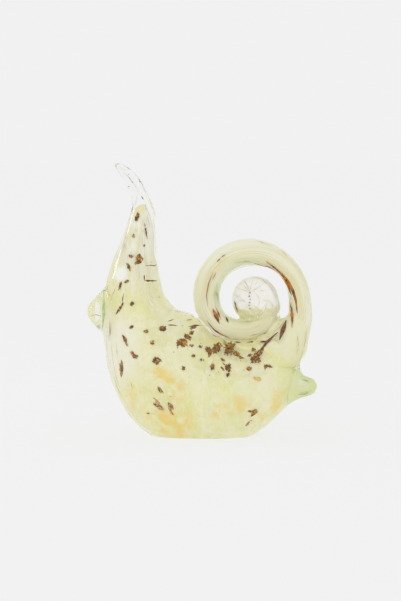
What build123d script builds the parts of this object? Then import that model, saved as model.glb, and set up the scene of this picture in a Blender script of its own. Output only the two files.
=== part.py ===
from build123d import *
import math
import os

# A hot-worked solid glass snail. A pale core carries brown metallic flecks under a thick clear casing.
# The neck and its bent horn are drawn up from the casing, the shell is a tapered rod wound over the
# back, and two clear bits are pressed on: the pinched nose and the tail.
# X runs from the nose (negative) to the tail, Y across, Z up. The origin is the middle of the footprint
# of the whole figure, on the surface that it stands on.

# Driving dimensions, in millimetres
body_length = 90.0
body_width = 50.0
body_height = 56.0
figure_height = 123.0
casing_wall = 9.5

shell_width = 53.0
rod_diameter = 12.0
rod_core_diameter = 6.4
shell_sink = 0.6
curl_diameter = 21.4
curl_thickness = 11.2
curl_offset = 1.4

nose_reach = 7.9
nose_height = 22.0
nose_width = 17.0
nose_size = (nose_reach, nose_height, nose_width)
nose_seat_depth = 5.0
crease_depth = 2.2
crease_width = 1.4

tail_reach = 10.96
tail_height = 15.0
tail_width = 15.0
tail_size = (tail_reach, tail_height, tail_width)
tail_seat_depth = 6.0

fleck_thickness = 0.5
fleck_clearance = 0.35
fleck_length = 4.4
neck_fleck_length = 3.2
streak_width = 1.4
streak_thickness = 0.5
streak_clearance = 0.48

# Counts and angles
gather_sides = 24
gather_steps = 40
core_sides = 12
core_steps = 20
rod_sides = 20
rod_steps = 34
root_steps = 6
curl_sides = 16
rod_core_sides = 8
rod_core_steps = 24
bit_sides = 18
bit_steps = 9
fleck_sides = 6

# The gather, tail end first and horn tip last. Each row is one section across the glass:
# front_x, front_level, back_x, back_level, half_width, core.
# X is a share of body_length, half_width one of body_width, and core one of the core's full fill.
# A level is 0 at the base, 1 at body_height and 2 at figure_height.
gather_shares = [
    (0.492, 0.386, 0.492, 0.563, 0.081, 0.00),
    (0.465, 0.297, 0.470, 0.635, 0.162, 0.00),
    (0.410, 0.209, 0.420, 0.699, 0.270, 0.40),
    (0.320, 0.072, 0.320, 0.755, 0.387, 0.75),
    (0.200, -0.048, 0.200, 0.763, 0.468, 0.95),
    (0.060, -0.088, 0.070, 0.828, 0.504, 1.00),
    (-0.100, -0.088, -0.050, 0.984, 0.513, 1.00),
    (-0.250, -0.008, -0.125, 1.017, 0.504, 1.00),
    (-0.370, 0.169, -0.175, 1.098, 0.477, 0.98),
    (-0.455, 0.442, -0.200, 1.205, 0.414, 0.92),
    (-0.490, 0.731, -0.215, 1.306, 0.342, 0.84),
    (-0.495, 1.078, -0.222, 1.380, 0.261, 0.71),
    (-0.450, 1.333, -0.230, 1.481, 0.198, 0.60),
    (-0.400, 1.494, -0.230, 1.581, 0.153, 0.52),
    (-0.372, 1.601, -0.232, 1.655, 0.126, 0.45),
    (-0.350, 1.709, -0.250, 1.729, 0.090, 0.30),
    (-0.358, 1.790, -0.278, 1.810, 0.072, 0.00),
    (-0.378, 1.850, -0.305, 1.877, 0.060, 0.00),
    (-0.405, 1.910, -0.345, 1.944, 0.050, 0.00),
    (-0.428, 1.961, -0.395, 1.988, 0.034, 0.00),
    (-0.440, 1.988, -0.428, 2.000, 0.014, 0.00),
]

gather_rows = [(index, *row) for index, row in enumerate(gather_shares)]

# The shell's rod, root first: the angle in degrees, anticlockwise from the tail's side, the centreline's
# radius as a share of half the shell's width, and the rod's breadth in the plane of the coil and its
# thickness across it, both as shares of rod_diameter.
coil_shares = [
    (-80.0, 1.060, 1.95, 1.80),
    (-62.0, 1.019, 1.87, 1.65),
    (-48.0, 0.942, 1.65, 1.40),
    (-42.0, 0.917, 1.46, 1.25),
    (-35.0, 0.908, 1.20, 1.10),
    (-22.0, 0.892, 0.93, 0.95),
    (-8.0, 0.824, 0.86, 0.88),
    (20.0, 0.781, 0.79, 0.82),
    (60.0, 0.759, 0.88, 0.88),
    (95.0, 0.752, 1.06, 1.02),
    (147.0, 0.775, 1.02, 1.00),
    (194.0, 0.769, 0.99, 0.98),
    (217.0, 0.722, 0.84, 0.88),
    (237.0, 0.656, 0.81, 0.84),
    (255.0, 0.605, 0.83, 0.84),
    (300.0, 0.475, 0.86, 0.86),
    (345.0, 0.272, 0.86, 0.86),
    (385.0, 0.235, 0.66, 0.66),
    (405.0, 0.200, 0.34, 0.34),
]
root_end_degrees = -22.0
# The round knob that the rod's inner end is pressed into: place across its thickness, and radius.
curl_shares = [(-1.0, 0.40), (-0.86, 0.66), (-0.52, 0.92), (0.0, 1.0), (0.52, 0.92), (0.86, 0.66), (1.0, 0.40)]
shell_centre_x_share = 0.25
saddle_level_share = 0.758
coil_bottom_degrees = 255.0

# The bits, root first: reach, height and width of each section, as shares of the bit's own.
nose_shares = [(0.0, 1.0, 1.0), (0.45, 0.64, 0.75), (0.80, 0.36, 0.50), (0.96, 0.17, 0.26), (1.0, 0.07, 0.12)]
tail_shares = [(0.0, 1.0, 1.0), (0.26, 0.84, 0.84), (0.50, 0.64, 0.66), (0.78, 0.50, 0.54), (0.94, 0.30, 0.34),
               (1.0, 0.10, 0.12)]
nose_seat_x_share = -0.489
nose_level_share = 1.0
tail_seat_x_share = 0.455
tail_level_share = 0.395

# Flecks as they lie on the core, seen from the side: the place along the gather in rows of its table,
# the place across the core from its front at -1 to its back at 1, length and breadth as shares of the
# fleck's usual length, and turn in degrees. The last value is the side of the core that they lie on:
# -1 near, 1 far.
body_fleck_shares = [
    (8.5, 0.40, 0.40, 0.40, 0.0, -1),
    (8.0, 0.40, 0.45, 0.35, 60.0, -1),
    (9.1, -0.35, 1.10, 0.35, 105.0, -1),
    (8.5, -0.25, 1.00, 0.40, 120.0, -1),
    (8.6, -0.75, 1.90, 0.40, 95.0, -1),
    (7.5, 0.20, 0.90, 0.50, 130.0, -1),
    (7.8, 0.80, 0.85, 0.50, 20.0, -1),
    (6.2, 0.93, 0.70, 0.60, 90.0, -1),
    (6.4, 0.80, 1.25, 0.95, 60.0, -1),
    (6.0, 0.80, 0.35, 0.35, 0.0, -1),
    (5.7, 0.85, 0.45, 0.40, 0.0, -1),
    (5.9, 0.60, 0.40, 0.35, 30.0, -1),
    (5.6, 0.60, 0.30, 0.30, 0.0, -1),
    (5.4, 0.85, 1.00, 0.80, 60.0, -1),
    (5.1, 0.93, 0.80, 0.50, 10.0, -1),
    (4.8, 0.75, 0.35, 0.30, 0.0, -1),
    (4.6, 0.93, 1.05, 0.70, 20.0, -1),
    (4.2, 0.93, 0.80, 0.40, 150.0, -1),
    (6.2, 0.30, 0.40, 0.40, 0.0, -1),
    (5.2, 0.55, 0.50, 0.50, 0.0, -1),
    (4.6, 0.65, 0.70, 0.60, 45.0, -1),
    (4.6, 0.50, 0.40, 0.30, 0.0, -1),
    (3.5, 0.93, 1.40, 1.10, 50.0, -1),
    (3.8, 0.70, 0.50, 0.40, 20.0, -1),
    (3.0, 0.75, 0.70, 0.50, 70.0, -1),
    (3.5, 0.40, 0.80, 0.40, 10.0, -1),
    (7.0, -0.30, 1.00, 0.50, 140.0, -1),
    (6.9, -0.65, 1.50, 0.90, 125.0, -1),
    (6.5, -0.55, 1.10, 0.65, 115.0, -1),
    (7.2, -0.90, 0.40, 0.30, 40.0, -1),
    (3.7, -0.60, 0.80, 0.50, 30.0, -1),
    (3.9, -0.85, 0.80, 0.30, 40.0, -1),
    (5.8, 0.45, 1.20, 0.80, 20.0, 1),
    (4.9, 0.20, 1.00, 0.80, 60.0, 1),
    (7.1, -0.10, 1.20, 0.60, 110.0, 1),
    (4.2, 0.80, 1.40, 0.70, 30.0, 1),
    (6.1, -0.40, 1.30, 0.70, 130.0, 1),
    (5.3, -0.45, 0.90, 0.60, 10.0, 1),
]
neck_fleck_shares = [
    (14.1, -0.70, 1.30, 0.45, 90.0, -1),
    (12.8, -0.45, 0.60, 0.35, 80.0, -1),
    (13.0, 0.85, 2.20, 0.25, 97.0, -1),
    (12.1, 0.93, 0.40, 0.30, 0.0, -1),
    (11.8, -0.10, 0.55, 0.45, 0.0, -1),
    (11.5, 0.65, 1.20, 0.85, 90.0, -1),
    (11.4, -0.10, 1.30, 0.30, 100.0, -1),
    (10.9, -0.10, 0.60, 0.45, 60.0, -1),
    (10.9, -0.50, 1.40, 0.30, 70.0, -1),
    (9.9, 0.20, 0.60, 0.50, 30.0, -1),
    (10.2, -0.40, 1.70, 0.35, 65.0, -1),
    (9.2, 0.00, 0.60, 0.40, 60.0, -1),
    (11.9, 0.30, 1.20, 0.50, 90.0, 1),
    (10.0, 0.45, 1.20, 0.60, 80.0, 1),
    (9.0, 0.35, 1.20, 0.60, 60.0, 1),
]
# Flecks drawn out along the rod: first and last angle of the coil, and turn about the rod in degrees,
# from the far side by way of the coil's middle.
streak_rows = [
    (-20.0, 68.0, 155.0),
    (-40.0, -8.0, 120.0),
    (155.0, 191.0, 188.0),
    (197.0, 220.0, 172.0),
    (209.0, 240.0, 218.0),
    (204.0, 235.0, 130.0),
    (123.0, 138.0, 197.0),
    (64.0, 92.0, 227.0),
    (70.0, 97.0, 105.0),
    (20.0, 62.0, 10.0),
    (140.0, 180.0, 0.0),
]
coil_core_end_degrees = 370.0


def level(share):
    """Height above the base of a level between 0 and 2."""
    if share <= 1:
        return share * body_height
    return body_height + (share - 1) * (figure_height - body_height)


def section_plane(front, back):
    """Plane of a section that runs from its front point to its back point, and half that distance."""
    across = Vector(back[0] - front[0], 0, back[1] - front[1])
    middle = Vector((front[0] + back[0]) / 2, 0, (front[1] + back[1]) / 2)
    normal = Vector(0, 1, 0).cross(across.normalized())
    return Plane(origin=middle, x_dir=(0, 1, 0), z_dir=normal), across.length / 2


def oval_points(half_width, half_height, sides):
    """Corners of a many-sided oval, flat at both ends of its width."""
    turns = [2 * math.pi * (side + 0.5) / sides for side in range(sides)]
    return [(half_width * math.cos(turn), half_height * math.sin(turn)) for turn in turns]


def oval(half_width, half_height, sides):
    """Face of a many-sided oval."""
    return Polygon(*oval_points(half_width, half_height, sides), align=None)


def between(table, place):
    """Smooth values between the rows of a table whose first column is the place."""
    places = [row[0] for row in table]
    last = len(table) - 1
    start = max(index for index in range(last) if places[index] <= place or index == 0)
    span = places[start + 1] - places[start]
    share = (place - places[start]) / span

    def slope(index, column):
        before, after = table[max(index - 1, 0)], table[min(index + 1, last)]
        return span * (after[column] - before[column]) / (after[0] - before[0])

    values = []
    for column in range(1, len(table[0])):
        rise = table[start + 1][column] - table[start][column]
        first, second = slope(start, column), slope(start + 1, column)
        curve = first * share + (3 * rise - 2 * first - second) * share**2
        values.append(table[start][column] + curve + (first + second - 2 * rise) * share**3)
    return values


def steps_between(first, last, count):
    """Even steps from first to last."""
    return [first + (last - first) * index / count for index in range(count + 1)]


def gather_section(place):
    """Plane of the gather's section at a place counted in rows of its table, and its half sizes."""
    front_x, front_level, back_x, back_level, half_width, core = between(gather_rows, place)
    front = (front_x * body_length, level(front_level))
    back = (back_x * body_length, level(back_level))
    plane, half_height = section_plane(front, back)
    return plane, half_width * body_width, half_height, core


def core_section(place):
    """Plane of the core's section at a place along the gather, and its half sizes inside the casing."""
    plane, half_width, half_height, core = gather_section(place)
    fill = core * (1 - casing_wall / (body_width / 2))
    return plane, half_width * fill, half_height * fill


def make_gather():
    """Body, neck and horn as one drawn gather of glass, cut flat to stand."""
    sections = []
    for place in steps_between(0, len(gather_rows) - 1, gather_steps):
        plane, half_width, half_height, core = gather_section(place)
        sections.append(plane * oval(half_width, half_height, gather_sides))
    return split(loft(sections, ruled=True), bisect_by=Plane.XY, keep=Keep.TOP)


def make_body_core():
    """Pale core, a smaller gather inside the casing, rising into the neck. It is skinned in flat
    facets, because the casing and the flecks are seated on it."""
    filled = [row[0] for row in gather_rows if row[-1] > 0]
    rings = []
    for place in steps_between(filled[0], filled[-1], core_steps):
        plane, half_width, half_height = core_section(place)
        corners = oval_points(half_width, half_height, core_sides)
        rings.append([plane.from_local_coords(corner) for corner in corners])
    return faceted(rings)


def faceted(rings):
    """A closed solid of flat facets over rings of equally many corners."""
    outlines = [rings[0], rings[-1]]
    for first, second in zip(rings, rings[1:]):
        for side in range(len(first)):
            outlines.append([first[side - 1], first[side], second[side]])
            outlines.append([first[side - 1], second[side], second[side - 1]])
    return Solid(Shell([Face(Wire.make_polygon(outline)) for outline in outlines]))


def coil_radii(angle):
    """Radius of the coil's centreline at an angle, and the rod's half breadth and half thickness there."""
    path, breadth, thickness = between(coil_shares, angle)
    return path * shell_width / 2, breadth * rod_diameter / 2, thickness * rod_diameter / 2


def shell_centre():
    """Middle of the coil, so that its lowest turn is sunk into the saddle of the back."""
    path, half_breadth, half_thickness = coil_radii(coil_bottom_degrees)
    height = level(saddle_level_share) + path + half_breadth - shell_sink
    return Vector(shell_centre_x_share * body_length, 0, height)


def coil_point(angle):
    """Point of the coil's centreline."""
    path = coil_radii(angle)[0]
    turn = math.radians(angle)
    return shell_centre() + Vector(path * math.cos(turn), 0, path * math.sin(turn))


def coil_plane(angle):
    """Plane across the rod: its x runs to the far side, its y to the coil's middle."""
    along = coil_point(angle + 1) - coil_point(angle - 1)
    return Plane(origin=coil_point(angle), x_dir=(0, 1, 0), z_dir=along.normalized())


def make_rod(first, last, steps):
    """A stretch of the shell's rod, wound from one angle of the coil to another."""
    sections = []
    for angle in steps_between(first, last, steps):
        path, half_breadth, half_thickness = coil_radii(angle)
        sections.append(coil_plane(angle) * oval(half_thickness, half_breadth, rod_sides))
    return loft(sections, ruled=True)


def make_curl():
    """Round knob at the middle of the coil, where the rod's inner end was curled up and pressed."""
    middle = shell_centre() + Vector(curl_offset, 0, -curl_offset)
    rings = []
    for across, round_share in curl_shares:
        origin = middle + Vector(0, across * curl_thickness / 2, 0)
        radius = round_share * curl_diameter / 2
        plane = Plane(origin=origin, x_dir=(1, 0, 0), z_dir=(0, 1, 0))
        rings.append([plane.from_local_coords(corner) for corner in oval_points(radius, radius, curl_sides)])
    return faceted(rings)


def make_coil():
    """The whole shell: the flared root on the back, the wound rod, and the knob at its inner end."""
    root = make_rod(coil_shares[0][0], root_end_degrees, root_steps)
    rod = make_rod(root_end_degrees, coil_shares[-1][0], rod_steps)
    return root + rod + make_curl()


def make_shell_core():
    """Pale core of the rod, a thread that the coil carries from its root to near its end."""
    radius = rod_core_diameter / 2
    angles = steps_between(coil_shares[0][0], coil_core_end_degrees, rod_core_steps)
    path = Polyline(*[coil_point(angle) for angle in angles])
    section = Plane(origin=path @ 0, x_dir=(0, 1, 0), z_dir=path % 0) * oval(radius, radius, rod_core_sides)
    return sweep(section, path=path, transition=Transition.RIGHT)


def make_streak(first, last, around):
    """One fleck drawn out along the rod, just off its core."""
    points = []
    for angle in steps_between(first, last, 2):
        reach = rod_core_diameter / 2 + streak_clearance + streak_thickness / 2
        seat = coil_plane(angle).location * Rot(0, 0, around) * Pos(reach, 0, 0)
        points.append(seat.position)
    path = ThreePointArc(*points)
    outward = (points[0] - coil_point(first)).normalized()
    section = Plane(origin=points[0], x_dir=outward, z_dir=path % 0) * Rectangle(streak_thickness, streak_width)
    return sweep(section, path=path)


def make_fleck(core, row, size):
    """One flat metallic fleck, picked up on the core and covered by the casing."""
    place, across, length, breadth, turn, side = row
    plane, half_width, half_height = core_section(place)
    middle = plane.from_local_coords((0, across * half_height))
    sight = Axis(middle + Vector(0, side * body_width, 0), (0, -side, 0))
    point, normal = core.shell().find_intersection_points(sight)[0]
    normal = -normal if core.is_inside(point + normal * fleck_clearance) else normal
    along = Vector(1, 0, 0) - normal * normal.X
    seat = Plane(origin=point + normal * fleck_clearance, x_dir=along, z_dir=normal)
    outline = oval(length * size / 2, breadth * size / 2, fleck_sides)
    return extrude(seat * Rot(0, 0, turn) * outline, amount=fleck_thickness)


def pressed_bit(seat, along, table, size, depth):
    """A pressed-on bit of glass: ovals along its reach, from a root sunk by depth to its tip."""
    reach, height, width = size
    rings = []
    for share in [-depth / reach] + steps_between(0, 1, bit_steps):
        tall, wide = between(table, max(share, 0))
        plane = Plane(origin=seat + along * (share * reach), x_dir=(0, 1, 0), z_dir=along)
        corners = oval_points(wide * width / 2, tall * height / 2, bit_sides)
        rings.append([plane.from_local_coords(corner) for corner in corners])
    return faceted(rings)


def make_nose(gather):
    """Clear bit pressed on the chest and pinched, with the crease of the pinch across its tip."""
    seat = Vector(nose_seat_x_share * body_length, 0, level(nose_level_share))
    nose = pressed_bit(seat, Vector(-1, 0, 0), nose_shares, nose_size, nose_seat_depth)
    tip = seat - Vector(nose_reach, 0, 0)
    notch = Polygon((0, crease_width / 2), (crease_depth, 0), (0, -crease_width / 2), align=None)
    crease = extrude(Plane(origin=tip, x_dir=(1, 0, 0), z_dir=(0, -1, 0)) * notch, amount=nose_width, both=True)
    return nose - crease - gather


def make_tail(gather, coil):
    """Clear bit pressed on the end of the body and drawn out to a short rounded tail."""
    seat = Vector(tail_seat_x_share * body_length, 0, level(tail_level_share))
    tail = pressed_bit(seat, Vector(1, 0, 0), tail_shares, tail_size, tail_seat_depth)
    return tail - gather - coil


os.makedirs("parts", exist_ok=True)

gather = make_gather()
body_core = make_body_core()
coil = make_coil()
shell_core = make_shell_core() - gather
body_flecks = [make_fleck(body_core, row, fleck_length) for row in body_fleck_shares]
neck_flecks = [make_fleck(body_core, row, neck_fleck_length) for row in neck_fleck_shares]
shell_flecks = [make_streak(*row) for row in streak_rows]

nodes = {
    "body_casing": gather - body_core - body_flecks - neck_flecks,
    "body_core": body_core,
    "shell_casing": coil - gather - shell_core - shell_flecks,
    "shell_core": shell_core,
    "nose_bit": make_nose(gather),
    "tail_bit": make_tail(gather, coil),
    "body_flecks": Compound(body_flecks),
    "neck_flecks": Compound(neck_flecks),
    "shell_flecks": Compound(shell_flecks),
}
for name, node in nodes.items():
    export_step(node, f"parts/{name}.step")
    box = node.bounding_box()
    print(name, len(node.solids()), "solids", round(node.volume, 1), "mm3", box.min, box.max)
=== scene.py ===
# %% [markdown]
# A glass snail, worked hot by hand. The real one is a lump of pale, milky glass that was rolled in brown,
# metal-bright flakes and dipped in clear glass. The neck and horn are pulled out of the lump, the shell is
# a rod wound over the back, and two small clear bits are pressed on for the nose and the tail.
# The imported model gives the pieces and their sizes, and this script gives them their finish. Lengths are in
# metres, so one in millimetres is multiplied by MM.

# %% The frame
import math

import bmesh
import bpy
from mathutils import Matrix, Vector, noise
from mathutils.bvhtree import BVHTree


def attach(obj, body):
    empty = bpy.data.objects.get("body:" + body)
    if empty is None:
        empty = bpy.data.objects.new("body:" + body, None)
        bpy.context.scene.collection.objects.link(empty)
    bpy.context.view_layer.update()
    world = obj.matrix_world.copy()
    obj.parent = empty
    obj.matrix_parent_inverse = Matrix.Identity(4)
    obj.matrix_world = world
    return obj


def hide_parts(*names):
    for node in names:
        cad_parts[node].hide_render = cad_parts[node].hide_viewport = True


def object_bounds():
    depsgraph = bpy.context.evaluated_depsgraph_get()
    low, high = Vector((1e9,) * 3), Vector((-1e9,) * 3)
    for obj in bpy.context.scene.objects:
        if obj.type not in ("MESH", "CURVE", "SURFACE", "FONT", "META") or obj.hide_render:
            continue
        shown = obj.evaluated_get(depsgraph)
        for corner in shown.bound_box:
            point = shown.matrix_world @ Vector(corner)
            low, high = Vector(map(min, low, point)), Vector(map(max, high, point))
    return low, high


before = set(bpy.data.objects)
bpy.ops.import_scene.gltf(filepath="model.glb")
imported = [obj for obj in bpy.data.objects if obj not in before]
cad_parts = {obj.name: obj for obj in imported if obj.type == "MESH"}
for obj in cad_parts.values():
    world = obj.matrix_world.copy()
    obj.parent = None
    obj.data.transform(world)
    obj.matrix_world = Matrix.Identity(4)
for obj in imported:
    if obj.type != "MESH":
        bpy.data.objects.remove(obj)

MM = 0.001
cad_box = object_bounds()
low, high = cad_box
print("nodes", sorted(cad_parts))
print("box in millimetres", [round(size / MM, 1) for size in (high - low)])

# %% [markdown]
# The camera comes first. A small thing on a table is seen from a little above, here 4.5 degrees. A lens could
# be typed and tried, but this one is worked out from the size of one pixel on the object, 0.45 mm, so that
# later cells can ask the camera where a place in the photograph lies.

# %% Camera
def placed(name, data):
    """A new object in the scene that shows some data."""
    item = bpy.data.objects.new(name, data)
    bpy.context.scene.collection.objects.link(item)
    return item


PHOTO_WIDTH, PHOTO_HEIGHT = 401, 601      # in pixels
elevation = math.radians(4.5)
distance = 1.6
pixel = 0.45 * MM
aim = Vector((-1.5 * pixel, 0, 135.5 * pixel))
camera_data = bpy.data.cameras.new("camera")
camera_data.lens = camera_data.sensor_width * distance / (PHOTO_HEIGHT * pixel)
camera = placed("camera", camera_data)
camera_up = Vector((0, math.sin(elevation), math.cos(elevation)))
camera.location = aim + distance * Vector((0, -math.cos(elevation), math.sin(elevation)))
camera.rotation_euler = (math.pi / 2 - elevation, 0, 0)
bpy.context.scene.camera = camera
print("the lens is", round(camera_data.lens, 1), "mm")

# %% [markdown]
# Every piece takes the same road: a bmesh is shaped by operators, becomes a mesh, and an object shows it.
# Fire-polished glass has no facets, so the faces are shaded smooth. The snail is one rigid body, so each
# piece rides on the root.

# %% From a shape to a piece
def shape_of(*meshes):
    """One bmesh of finished meshes."""
    shape = bmesh.new()
    for mesh in meshes:
        shape.from_mesh(mesh)
    return shape


def mesh_of(shape, name):
    """The finished mesh of a bmesh, which is then let go."""
    mesh = bpy.data.meshes.new(name)
    shape.to_mesh(mesh)
    shape.free()
    return mesh


def new_piece(name, mesh):
    """An object for a finished mesh, shaded smooth."""
    piece = placed(name, mesh)
    mesh.polygons.foreach_set("use_smooth", [True] * len(mesh.polygons))
    return piece


def ride_on_root(piece, slot, *nodes):
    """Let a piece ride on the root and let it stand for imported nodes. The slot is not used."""
    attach(piece, "root")
    if nodes:
        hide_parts(*nodes)
    print(piece.name, "stands for", nodes or "itself")


# %% [markdown]
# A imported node's mesh is loose triangles. A piece that starts from one merges the corners that lie together,
# so that smoothing can pass over the edges. Where a node holds many chips, a walk from face to face over
# shared edges tells them apart.

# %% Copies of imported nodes
def merged_copy(*nodes):
    """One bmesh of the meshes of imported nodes, with their corners merged."""
    shape = shape_of(*[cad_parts[node].data for node in nodes])
    bmesh.ops.remove_doubles(shape, verts=shape.verts, dist=0.002 * MM)
    return shape


def islands(shape):
    """The separate lumps of a bmesh, each as a list of faces, in the same order on each run."""
    found = set()
    lumps = []
    for first in shape.faces:
        if first in found:
            continue
        found.add(first)
        front = [first]
        lump = []
        while front:
            face = front.pop()
            lump.append(face)
            for other in [other for edge in face.edges for other in edge.link_faces]:
                if other not in found:
                    found.add(other)
                    front.append(other)
        lumps.append(lump)
    return lumps


print("chips lie in", [node for node in sorted(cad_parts) if node.endswith("flecks")])

# %% [markdown]
# Hot glass keeps no corners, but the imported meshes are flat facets. A hand-made cage under a subdivision
# surface would do for one lump. A voxel remesh is chosen, because it joins touching lumps into one skin.
# Rounds of smoothing, each in and then out again, take the facets away and keep the size. Only the largest
# lump is kept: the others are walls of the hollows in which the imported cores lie.

# %% Smooth skins
def smooth(shape, corners, factor):
    """Move corners towards the middle of their neighbours, or away from it where factor is below 0."""
    bmesh.ops.smooth_vert(shape, verts=corners, factor=factor,
                          use_axis_x=True, use_axis_y=True, use_axis_z=True)


def even_out(shape, rounds):
    """Take the ripples out of a bmesh and keep its size."""
    for factor in (0.5, -0.52) * rounds:
        smooth(shape, shape.verts, factor)


def applied(piece):
    """The piece with its modifiers made part of its mesh."""
    finished = bpy.data.meshes.new_from_object(piece.evaluated_get(bpy.context.evaluated_depsgraph_get()))
    name = piece.name
    bpy.data.objects.remove(piece)
    return new_piece(name, finished)


def voxel_skin(name, shape, voxel, rounds, levels):
    """A smooth closed skin over a bmesh, without the cavities inside."""
    rough = new_piece(name, mesh_of(shape, name))
    remesh = rough.modifiers.new("voxels", "REMESH")
    remesh.mode = "VOXEL"
    remesh.voxel_size = voxel
    rough = applied(rough)
    skin = shape_of(rough.data)
    lumps = sorted(islands(skin), key=len)
    bmesh.ops.delete(skin, geom=[face for lump in lumps[:-1] for face in lump], context="FACES")
    even_out(skin, rounds)
    bmesh.ops.recalc_face_normals(skin, faces=skin.faces)
    rough.data = mesh_of(skin, name)
    fine = rough.modifiers.new("fine", "SUBSURF")
    fine.levels = fine.render_levels = levels
    piece = applied(rough)
    print(name, len(lumps), "lumps,", len(piece.data.polygons), "faces")
    return piece


print("the body's casing has", len(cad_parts["body_casing"].data.polygons), "facets")

# %% [markdown]
# The clear glass is one piece: body, neck, horn, shell and both bits ran together while hot. Four skins
# would show a pair of glass faces at every joint, which the real one doesn't have, so one skin goes over all
# four nodes. The tail's joint is eased a little more, as the flame eased it. Last, the skin is kept a hair
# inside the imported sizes, so that it also stands flat.

# %% Fused glass
def ease_joint(piece, low_corner, high_corner, rounds):
    """Smooth the skin within a box given in millimetres, where two lumps ran together."""
    shape = shape_of(piece.data)
    near = [vertex for vertex in shape.verts
            if all(first * MM < value < last * MM
                   for first, value, last in zip(low_corner, vertex.co, high_corner))]
    for index in range(rounds):
        smooth(shape, near, 0.5)
    shape.to_mesh(piece.data)
    shape.free()
    print("eased", len(near), "corners")


def tree_of(mesh):
    """What finds the nearest face of a mesh, or the first along a line."""
    return BVHTree.FromPolygons([vertex.co for vertex in mesh.vertices],
                                [tuple(face.vertices) for face in mesh.polygons])


CLEAR_NODES = ("body_casing", "shell_casing", "nose_bit", "tail_bit")
HAIR = 0.02 * MM
glass = voxel_skin("fused_glass", merged_copy(*CLEAR_NODES), voxel=0.76 * MM, rounds=80, levels=0)
ease_joint(glass, (38, -14, 10), (46.5, 14, 36), rounds=70)
for vertex in glass.data.vertices:
    vertex.co = [min(max(value, least + HAIR), most - HAIR)
                 for value, least, most in zip(vertex.co, low, high)]
ride_on_root(glass, "clear_casing", *CLEAR_NODES)
glass_tree = tree_of(glass.data)

# %% [markdown]
# The shell is a rod, pulled out hot and wound over the back. Everything inside it follows its middle line,
# which is set down once: its distance from the middle of the coil, by angle. A spiral formula would be
# shorter, but a hand-wound coil tightens unevenly, and a short table can too.

# %% Line of the coil
COIL_CENTRE = Vector((22.5, 0.0, 62.8)) * MM
COIL_LINE = (
    (-84, 28.3), (-62, 27.0), (-48, 25.0), (-42, 24.3), (-35, 24.1), (-22, 23.6), (-8, 21.8), (20, 20.7),
    (60, 20.1), (95, 19.9), (147, 20.5), (194, 20.4), (217, 19.1), (237, 17.4), (255, 16.0), (300, 12.6),
    (345, 7.2),
)


def share_between(value, first, last):
    """How far a value is on its way from first to last, from 0 to 1."""
    return min(1.0, max(0.0, (value - first) / (last - first)))


def from_table(table, value):
    """Even change between the rows of a table of two columns."""
    for (first, near), (second, far) in zip(table, table[1:]):
        if value <= second:
            return near + (far - near) * share_between(value, first, second)
    return table[-1][1]


def coil_place(degrees, outward):
    """A point of the rod's middle line, or outward from it in the plane of the coil, in metres."""
    turn = math.radians(degrees)
    radius = (from_table(COIL_LINE, degrees) + outward) * MM
    return COIL_CENTRE + Vector((radius * math.cos(turn), 0, radius * math.sin(turn)))


print("the rod winds through", COIL_LINE[-1][0] - COIL_LINE[0][0], "degrees")

# %% [markdown]
# Drawn glass is round and changes its thickness along the way. A curve with a round bevel suits it, because
# its radius can be set point by point. Each line becomes a mesh at once, so that several can be joined into
# one piece. Corners of a core can be brought a margin under the glass, so that it doesn't break through.

# %% Drawn lines
def drawn_line(points, radii, sides=2, fineness=4):
    """Mesh of a round line through points, with a radius in metres at each."""
    data = bpy.data.curves.new("line", "CURVE")
    data.dimensions = "3D"
    data.bevel_depth = 1.0
    data.bevel_resolution = sides
    data.resolution_u = fineness
    data.use_fill_caps = True
    spline = data.splines.new("NURBS")
    spline.points.add(len(points) - 1)
    for target, point, radius in zip(spline.points, points, radii):
        target.co = (*point, 1)
        target.radius = radius
    spline.order_u = 3
    spline.use_endpoint_u = True
    line = bpy.data.objects.new("line", data)
    mesh = bpy.data.meshes.new_from_object(line)
    bpy.data.objects.remove(line)
    return mesh


def keep_inside(shape, margin):
    """Bring the corners of a bmesh at least a margin under the face of the glass."""
    for vertex in shape.verts:
        near, facing = glass_tree.find_nearest(vertex.co)[:2]
        if (vertex.co - near).dot(facing) > -margin:
            vertex.co = near - facing * margin


def joined(name, meshes, margin=None):
    """One piece of several meshes, riding on the root."""
    shape = shape_of(*meshes)
    bmesh.ops.remove_doubles(shape, verts=shape.verts, dist=0.001 * MM)
    bmesh.ops.recalc_face_normals(shape, faces=shape.faces)
    if margin:
        keep_inside(shape, margin)
        even_out(shape, 8)
    piece = new_piece(name, mesh_of(shape, name))
    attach(piece, "root")
    print(name, len(meshes), "parts,", len(piece.data.polygons), "faces")
    return piece


print("the glass has", len(glass.data.polygons), "faces to keep the cores under")

# %% [markdown]
# The milky core is the first gather: a smaller snail body under the casing, with a neck that thins out
# upwards. Hot milk rose into the rod of the shell where it was pressed on, and bulged at nose and tail. The
# packed core is only the plain gather, so rounded lumps and a tapered root are joined to it for the skin.

# %% Lumps and root of the core
def lump(shape, place, half_sizes):
    """Add a rounded lump to a bmesh, with its place and half sizes in millimetres."""
    matrix = Matrix.LocRotScale(Vector(place) * MM, None, Vector(half_sizes) * MM)
    bmesh.ops.create_uvsphere(shape, u_segments=48, v_segments=24, radius=1.0, matrix=matrix)


MILK_OUTWARD = 0.5                        # millimetres from the middle line of the rod


def coil_rod(radii):
    """Mesh of a round rod along the coil, from a table of its radii in millimetres by angle."""
    angles = range(radii[0][0], radii[-1][0] + 1, 4)
    points = [coil_place(angle, MILK_OUTWARD) for angle in angles]
    return drawn_line(points, [from_table(radii, angle) * MM for angle in angles], sides=7, fineness=3)


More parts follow.
